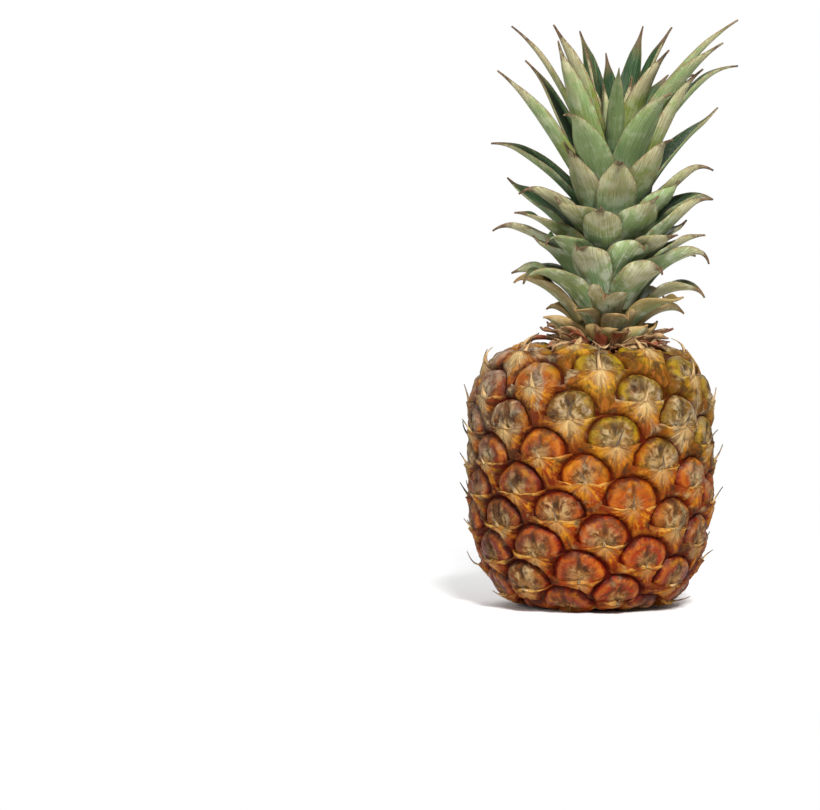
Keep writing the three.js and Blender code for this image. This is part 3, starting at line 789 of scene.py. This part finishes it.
def make_skin():
    """The smooth body that shows only in the grooves and round the stalk."""
    ball = bmesh.new()
    bmesh.ops.create_uvsphere(ball, u_segments=128, v_segments=96, radius=1)
    mesh, x, y, z = repeat(ball, 1)
    share = np.arcsin(np.clip(z, -1, 1)) / math.pi + 0.5
    angle = np.arctan2(x, -y)
    body = ease(0.14, 0.2, share) * ease(0.97, 0.93, share)
    height = lerp(*SKIN_HEIGHTS, body) + 0.5 * ripple(angle * 20, share * 70, 1)
    places = on_fruit(share, angle, height)
    # inside the stump it is lifted clear of the cut face
    stump = ease(STUMP_RADIUS + 2.5, STUMP_RADIUS, np.hypot(places[..., 0], places[..., 1]))
    places[..., 2] += stump * ease(20, 10, places[..., 2]) * 3
    finish_piece("fruit_skin", mesh, places, {}, groove_finish(), "fruit")


def eye_facts(number):
    """What dome and bract of one eye share."""
    return {"eye_draw": draw(number, 36), "dryness": draw(number, 37)}


def make_domes():
    """One cushion for each eye, with the crease where its sepals meet, sunk under its bract."""
    mesh, x, y, z = repeat(button(sides=48, rings=13), EYE_COUNT)
    number = of_eye(EYE)
    rho = np.hypot(x, y)
    sunk = z < -1e-4
    reach = np.where(sunk, 1, rho)
    turn = np.arctan2(y, x)
    three, five = (np.sin(n * turn + 3 * draw(number, item)) for n, item in ((3, 31), (5, 32)))
    lobes = 1 + 0.028 * three + 0.02 * five
    stretch = lobes * reach / np.maximum(rho, 1e-6)
    u = x * stretch * EYE_WIDTH / 2
    v = y * stretch * EYE_HEIGHT / 2 - DOME_DROP
    rise = DOME_RISE * (1 + DOME_RISE_SPREAD * draw(number, 33))
    height = rise * np.sqrt(np.maximum(1 - reach**DOME_FULLNESS, 0))
    crest = CREST_RISE * bell(reach - CREST_REACH, CREST_WIDTH)
    height += crest - HOLLOW_DEPTH * ease(0.62, 0.3, reach)
    from_crease = u + 0.7 * np.sin(0.35 * v + 3 * draw(number, 34))
    crease = CREASE_DEPTH * bell(from_crease, CREASE_WIDTH)
    height -= crease * ease(-3, 0, v) * ease(1, 0.75, reach)
    heart_v = v - HEART_V
    far, ray = np.hypot(u, heart_v), np.arctan2(heart_v, u)
    height -= HEART_DEPTH * bell(far, HEART_WIDTH)
    ribs = np.sin(ray * RIB_COUNT + 4 * draw(number, 35) + 0.5 * np.sin(v))
    height += RIB_RISE * ribs * ease(2, 4, far) * ease(0.85, 0.6, reach)
    height += LUMP_RISE * ripple(u * 0.5, v * 0.55, number) * ease(1, 0.8, reach)
    height -= TUCK_DEPTH * ease(-0.8, -3, v - lip_line(u))
    height = np.where(sunk, z * DOME_SKIRT, height)
    places, _ = eye_place(u, v, height, 0)
    facts = {"reach": reach, "ray": ray, "far": far, "side": u, "up": v, **eye_facts(number)}
    finish_piece("eye_domes", mesh, places, facts, rind_finish(), "fruit")


def make_bracts():
    """One pleated fan for each eye, spread from the bract's point, with its upper edge as the lip.
    Its wings rise into the corners beside the dome and its outer edge dives under its
    neighbours."""
    mesh, x, y, z = repeat(block(columns=40, rows=10), EYE_COUNT)
    number = of_eye(EYE)
    row = 0.5 + 0.5 * y
    far = lerp(0.4, lerp(*FAN_REACHES, np.abs(x) ** 1.2), row)
    fan = x * FAN_HALF_ANGLE
    u = far * np.sin(fan)
    v = LIP_Y + LIP_POINT - 1.5 - far * np.cos(fan)
    at_lip = ease(0.8, 1, np.abs(x))
    wing = np.abs(u) / WING_SPAN
    v += at_lip * (0.5 * ripple(far * 0.9, number, number) + WING_CLIMB * wing**2.4)
    below = np.maximum(lip_line(u) - v, 0)
    height = LIP_RISE + 0.2 - FAN_SIDE_FALL * np.abs(u) - FAN_DOWN_FALL * below
    height -= FAN_TUCK_DEPTH * ease(0.82, 1.05, row) ** 2
    ragged = 1 + 0.6 * draw(number, 41) + 0.7 * ripple(u * 0.8, number, number + 3)
    fray = (FRAY_RISE + TOP_FRAY_RISE * of_eye(EYE_SHARE) ** 4) * at_lip
    height += fray * ease(0.5, 4, np.abs(u)) * ragged
    height -= WING_DROOP * ease(8, 15, far) * at_lip
    height += FAN_POINT_RISE * bell(far, 2.2)
    bend = 0.8 * np.sin(far * 0.5 + 3 * draw(number, 43))
    pleat = np.sin(fan * PLEAT_COUNT + 3 * draw(number, 42) + bend)
    height += PLEAT_RISE * pleat * ease(1, 4, far)
    height -= FOLD_DEPTH * bell(fan * far, 0.9) * ease(1, 3.5, far)
    height += FAN_LUMP_RISE * ripple(u * 0.45, v * 0.5, number + 7)
    height = np.where(z < 0, FAN_FOOT, height)
    places, moat = eye_place(u, v, height, FAN_SINK)
    facts = {"far": far, "fan": fan, "moat": moat, **eye_facts(number)}
    finish_piece("eye_bracts", mesh, places, facts, bract_finish(), "fruit")


def make_points():
    """The dry point of every bract, papery at its root and drawn out into a wiry hook. Those of
    the shoulder are the broadest."""
    kept = EYE_MIDDLE[:, 2] > LEAST_SPINE_Z
    mesh, x, y, z = repeat(block(columns=4, rows=12), int(kept.sum()))
    number = of_eye(EYE[kept])
    high = of_eye(EYE_SHARE[kept]) ** 4
    length = lerp(SPINE_LENGTH, TOP_SPINE_LENGTH, high) * (1 + SPINE_SPREAD * draw(number, 3))
    t = 0.5 + 0.5 * y
    broad = 1 + 0.35 * draw(number, 53)
    width = lerp(lerp(*SPINE_WIDTHS, high) * broad, SPINE_TIP_WIDTH, t ** lerp(0.5, 1.1, high))
    thick = lerp(*SPINE_THICKNESS, t**0.5)
    hook = 0.3 + 0.8 * draw(number, 51)
    kink = 1.1 * np.sin(3.4 * t + 6 * draw(number, 52))
    side = SPINE_SWAY * draw(number, 4) * t**1.5 + kink * t
    climb = LIP_Y - 1 + SPINE_CLIMB * length * t * (1 + hook * (t - 1)) + t
    rise = LIP_RISE - 1.2 + SPINE_RISE * length * (t + hook * t * (1 - t)) + 0.9 * t
    u = side + x * width * (1 - 0.25 * z * z)
    v = climb - z * thick * 0.6
    height = rise + z * thick - 0.5 * (x * width) ** 2 * (1 - t)
    frames = (EYE_ACROSS[kept], EYE_UP[kept], EYE_OUT[kept])
    places = EYE_MIDDLE[kept][:, None, :] + sum(
        amount[..., None] * axis[:, None, :] for amount, axis in zip((u, v, height), frames)
    )
    facts = {"far": length * t, "side": x, "eye_draw": draw(number, 36)}
    finish_piece("eye_points", mesh, places, facts, spine_finish(), "fruit")


# ---- leaves ----
def to_crown(places):
    """Leans and lifts places from the crown's own upright frame onto the fruit."""
    x, y, z = np.moveaxis(places, -1, 0)
    cos, sin = math.cos(CROWN_LEAN), math.sin(CROWN_LEAN)
    return np.stack([x * cos + z * sin, y, z * cos - x * sin], axis=-1) + CROWN_FOOT


def make_leaves(name, leaf, columns, rows, material, node):
    """Bends a block into each leaf. `leaf` holds, for every leaf, a column of each of the values
    that the rules below return."""
    mesh, x, y, z = repeat(block(columns, rows), len(leaf["angle"]))
    t = 0.5 + 0.5 * y
    steps = np.linspace(0, 1, 121)
    lean = lerp(leaf["lean"], leaf["tip_lean"], steps ** leaf["curl"])
    lean = lean + leaf["hook"] * ease(0.78, 1, steps)
    out_run, up_run = (
        np.concatenate([np.zeros_like(lean[:, :1]), np.cumsum(step(lean)[:, 1:], axis=1)], axis=1)
        * leaf["length"] / (len(steps) - 1)
        for step in (np.sin, np.cos)
    )
    out, up, tilt = (
        np.stack([np.interp(ts, steps, values) for ts, values in zip(t, table)])
        for table in (out_run, up_run, lean)
    )
    half = leaf_half_width(leaf, t)
    wiry = ease(0.86, 0.97, t)
    section = np.sqrt(np.maximum(1 - 0.85 * x * x, 0))
    thick = 0.5 * lerp(leaf["thickness"] * (1 - LEAF_THINNING * t) * section, 0.7, wiry)
    fold = leaf["channel"] * (1 + 0.5 * ease(0.6, 0.95, t))
    wave = leaf["wave"] * half * t * (1 - t) * np.sin(leaf["wave_count"] * t + x + 6 * leaf["draw"])
    lift = z * thick + fold * half * np.abs(x) ** 2.2 + wave * np.abs(x) ** 3 * np.sign(x)
    sway = leaf["sway"] * leaf["length"] * t * t
    twist = leaf["twist"] * ease(0.45, 1, t)
    side = x * half * np.cos(twist) - lift * np.sin(twist) + sway
    lift = lift * np.cos(twist) + x * half * np.sin(twist)
    reach = leaf["radius"] + out - np.cos(tilt) * lift
    angle = leaf["angle"]
    places = np.stack(
        [
            reach * np.sin(angle) + side * np.cos(angle),
            -reach * np.cos(angle) + side * np.sin(angle),
            leaf["z"] + up + np.sin(tilt) * lift,
        ],
        axis=-1,
    )
    facts = {
        "along": t, "far": t * leaf["length"], "side": x * half, "rim": np.abs(x),
        "inner": ease(-0.5, 0.5, z), "age": leaf["age"], "leaf_draw": leaf["draw"],
    }
    finish_piece(name, mesh, to_crown(places), facts, material, node)


def leaf_half_width(leaf, t):
    """Broad at the root, fullest half way along, then drawn in to a thin wiry end."""
    blade = leaf["width"] * (0.5 + 1.6 * t - 1.3 * t * t) * (1 - t ** leaf["fullness"])
    drawn_in = (1 - 0.55 * ease(0.8, 0.97, t)) * (1 - 0.5 * leaf["slim"] * ease(0.6, 0.92, t))
    return 0.5 * (blade * drawn_in + lerp(1.1, 0.5, t))


def crown_leaves(first, last):
    """The rule for the crown's leaves from number `first` up to `last`; scales are below 0."""
    j = np.arange(first, last)[:, None]
    scale = j < 0
    share = np.clip(j / (LEAF_COUNT - 1), 0, 1)
    low_z = lerp(FIRST_LEAF_Z, FIRST_SCALE_Z, -j / SCALE_COUNT)
    z = np.where(scale, low_z, lerp(FIRST_LEAF_Z, LAST_LEAF_Z, share))
    taper = np.clip((z - STEM_TAPER_START) / (STEM_TAPER_END - STEM_TAPER_START), 0, 1)
    lean, tip_lean = (
        np.where(scale, scale_lean, along(leaf_lean, share))
        for scale_lean, leaf_lean in zip(SCALE_LEAN, (LEAF_LEAN, LEAF_TIP_LEAN))
    )

    def spread(name, item):
        return LEAF_SPREAD[name] * draw(j, item, LEAF_SEED)

    heart = np.clip(1 - (j - LEAF_COUNT + 1) * 0.11, 0.2, 1)
    outer = ease(0.95, 0.5, share)
    stunt = ease(*STUNTED_FROM, draw(j, STUNT_ITEM, LEAF_SEED))
    length = np.where(scale, SCALE_LENGTH, along(LEAF_LENGTH, share)) * (1 + spread("length", 12))
    width = along(LEAF_WIDTH, share) * (1 + spread("width", 13))
    return {
        "angle": FIRST_LEAF_ANGLE + LEAF_TURN * j + spread("angle", 11),
        "z": z,
        "radius": lerp(STEM_RADIUS, STEM_TIP_RADIUS, taper) * heart - LEAF_ROOT_DEPTH,
        "length": length * heart * lerp(1, STUNTED_LENGTH, stunt),
        "width": width * heart * lerp(1, STUNTED_WIDTH, stunt),
        "fullness": lerp(*LEAF_FULLNESS, share),
        "lean": np.radians(lean + spread("lean", 14)),
        "tip_lean": np.radians(tip_lean + spread("tip_lean", 15)),
        "curl": LEAF_CURL + spread("curl", 16),
        "channel": LEAF_CHANNEL + spread("channel", 17),
        "sway": spread("sway", 18),
        "thickness": LEAF_THICKNESS,
        "hook": np.radians(LEAF_HOOK + spread("hook", 61)) * outer,
        "wave": spread("wave", 62),
        "wave_count": LEAF_WAVES + spread("wave_count", 63),
        "twist": spread("twist", 64) * outer,
        "slim": outer,
        "age": share,
        "draw": draw(j, 65, LEAF_SEED),
    }


def make_crown():
    """The scales and leaves from the crown's foot up to its heart, whose last few are small."""
    leaf = leaf_finish()
    for name, first, last, columns, rows in (
        ("crown_scales", -SCALE_COUNT, 12, 12, 22),
        ("crown_low_leaves", 12, 46, 14, 34),
        ("crown_high_leaves", 46, LEAF_COUNT + 7, 14, 56),
    ):
        make_leaves(name, crown_leaves(first, last), columns, rows, leaf, "crown")


def make_collar():
    """The dry bracts round the crown's foot, and the loose fibres among them."""
    j = np.arange(BRACT_COUNT)[:, None]
    high = j % 2
    lean, tip_lean = (np.where(high, *leans) for leans in zip(HIGH_BRACT_LEAN, LOW_BRACT_LEAN))

    def spread(name, item):
        return BRACT_SPREAD[name] * draw(j, item)

    bracts = {
        "angle": 2 * math.pi * j / BRACT_COUNT + spread("angle", 21),
        "z": BRACT_FOOT_Z + BRACT_TIER_RISE * high + spread("z", 22),
        "radius": BRACT_ROOT_RADIUS,
        "length": lerp(*BRACT_LENGTH, 0.5 + 0.5 * draw(j, 23)),
        "width": BRACT_WIDTH * (1 + spread("width", 24)),
        "fullness": 2,
        "lean": np.radians(lean + spread("lean", 25)),
        "tip_lean": np.radians(tip_lean + spread("tip_lean", 26)),
        "curl": 1.2,
        "channel": 0.45 + spread("channel", 28),
        "sway": spread("sway", 27),
        "thickness": 0.9,
        "hook": BRACT_HOOK * draw(j, 29),
        "wave": spread("wave", 71),
        "wave_count": 9,
        "twist": spread("twist", 72),
        "slim": 0,
        "age": 0,
        "draw": draw(j, 73),
    }
    finish = dry_bract_finish()
    make_leaves("collar_bract_blades", bracts, 8, 18, finish, "collar_bracts")
    k = np.arange(FIBRE_COUNT)[:, None]

    def fibre_spread(name, item):
        return FIBRE_SPREAD[name] * draw(k, item)

    fibres = {
        **bracts,
        "angle": 2 * math.pi * k / FIBRE_COUNT + fibre_spread("angle", 81),
        "z": 1.5 + fibre_spread("z", 82),
        "radius": BRACT_ROOT_RADIUS - 1.5,
        "length": 12 + fibre_spread("length", 83),
        "width": 2 + fibre_spread("width", 84),
        "lean": np.radians(62 + fibre_spread("lean", 85)),
        "tip_lean": np.radians(95 + fibre_spread("tip_lean", 86)),
        "channel": 0.3,
        "sway": fibre_spread("sway", 87),
        "thickness": 0.5,
        "hook": FIBRE_HOOK * draw(k, 88),
        "wave": 0.5,
        "twist": fibre_spread("twist", 89),
        "draw": draw(k, 90),
    }
    make_leaves("collar_fibres", fibres, 2, 14, finish, "collar_bracts")


def make_stalk():
    """The stump, with a rough cut face and a softened rim."""
    stump = bmesh.new()
    bmesh.ops.create_uvsphere(stump, u_segments=64, v_segments=48, radius=1)
    mesh, x, y, z = repeat(stump, 1)
    angle = np.arctan2(y, x)
    side = np.clip(np.hypot(x, y) * 1.9, 0, 1)
    radius = side * (STUMP_RADIUS - 0.25 - 0.2 * ripple(angle * 9, z, 3) ** 2)
    height = STUMP_HEIGHT * np.clip(0.5 + z * 0.62, 0, 1)
    height += ease(0.2, 0, height / STUMP_HEIGHT) * 0.12 * ripple(radius * 2, angle * 4, 5) ** 2
    places = np.stack([radius * np.cos(angle), radius * np.sin(angle), height], axis=-1)
    finish_piece("stalk_stump", mesh, places, {}, stalk_finish(), "cut_stalk")


# ---- the studio ----
def make_floor():
    """A pale floor that fades into the backdrop at some way from the fruit."""
    disc = bmesh.new()
    bmesh.ops.create_circle(disc, cap_ends=True, radius=FLOOR_RADIUS, segments=96)
    mesh = bpy.data.meshes.new("floor")
    disc.to_mesh(mesh)
    disc.free()
    finish = Finish("pale_floor")
    finish.shader.inputs["Base Color"].default_value = (0.94, 0.94, 0.94, 1)
    finish.shader.inputs["Roughness"].default_value = 0.9
    away = (finish.axis(0) ** 2 + finish.axis(1) ** 2) ** 0.5
    clear = finish.node("BsdfTransparent", {})
    solid = Wire(finish.tree, finish.shader.outputs[0])
    mixed = finish.node("MixShader", {0: away.step(*FLOOR_FADE), 1: solid, 2: clear})
    finish.tree.links.new(mixed.socket, finish.tree.nodes["Material Output"].inputs["Surface"])
    mesh.materials.append(finish.material)
    floor = add("floor", mesh)


def make_light(name, place, size, power):
    """A round lamp at that place, in metres, turned to the object. `power` is in watts."""
    lamp = bpy.data.lights.new(name, "AREA")
    lamp.shape = "DISK"
    lamp.size = size
    lamp.energy = power
    light = add(name, lamp)
    light.location = place
    light.rotation_euler = (Vector(LIGHT_AIM) - Vector(place)).to_track_quat("-Z", "Y").to_euler()


def make_studio():
    """A white room: soft light from all round, a key from above the camera, a weak fill from the
    left and a broad light from above and behind. The camera sees the room plain white."""
    world = bpy.data.worlds.new("studio")
    world.use_nodes = True
    tree = world.node_tree
    seen = tree.nodes["Background"]
    seen.inputs["Color"].default_value = (1, 1, 1, 1)
    white = Wire(tree, seen.outputs[0])
    soft = white.node("Background", {"Color": (1, 1, 1, 1), "Strength": ROOM_LIGHT})
    by_camera = white.node("LightPath", {}, output="Is Camera Ray")
    mixed = white.node("MixShader", {0: by_camera, 1: soft, 2: white})
    tree.links.new(mixed.socket, tree.nodes["World Output"].inputs["Surface"])
    bpy.context.scene.world = world
    bpy.context.scene.view_settings.view_transform = "Standard"
    make_light("key", (0.3, -1.4, 1.25), size=0.5, power=51)
    make_light("fill", (-1.3, -0.7, 0.6), size=0.9, power=6)
    make_light("back", (-0.2, 1.2, 1.5), size=1.5, power=19)


def make_camera():
    """Looks at the foot of the stalk from straight in front and a little above, then turns so that
    it stands at its own place in the frame."""
    pixels = CAMERA_LENS / SENSOR_WIDTH * FRAME_WIDTH_PX
    distance = pixels * SCALE * MM
    camera = add("camera", bpy.data.cameras.new("camera"))
    camera.data.lens = CAMERA_LENS
    camera.data.sensor_width = SENSOR_WIDTH
    camera.data.clip_end = CAMERA_SIGHT
    camera.location = (0, -distance * math.cos(CAMERA_RISE), distance * math.sin(CAMERA_RISE))
    pan = math.atan((STALK_X_PX - FRAME_WIDTH_PX / 2) / pixels)
    tilt = math.atan((STALK_Y_PX - FRAME_HEIGHT_PX / 2) / pixels)
    camera.rotation_euler = (math.pi / 2 - CAMERA_RISE + tilt, 0, pan)
    bpy.context.scene.camera = camera


make_skin()
make_domes()
make_bracts()
make_points()
make_crown()
make_collar()
make_stalk()
make_floor()
make_studio()
make_camera()
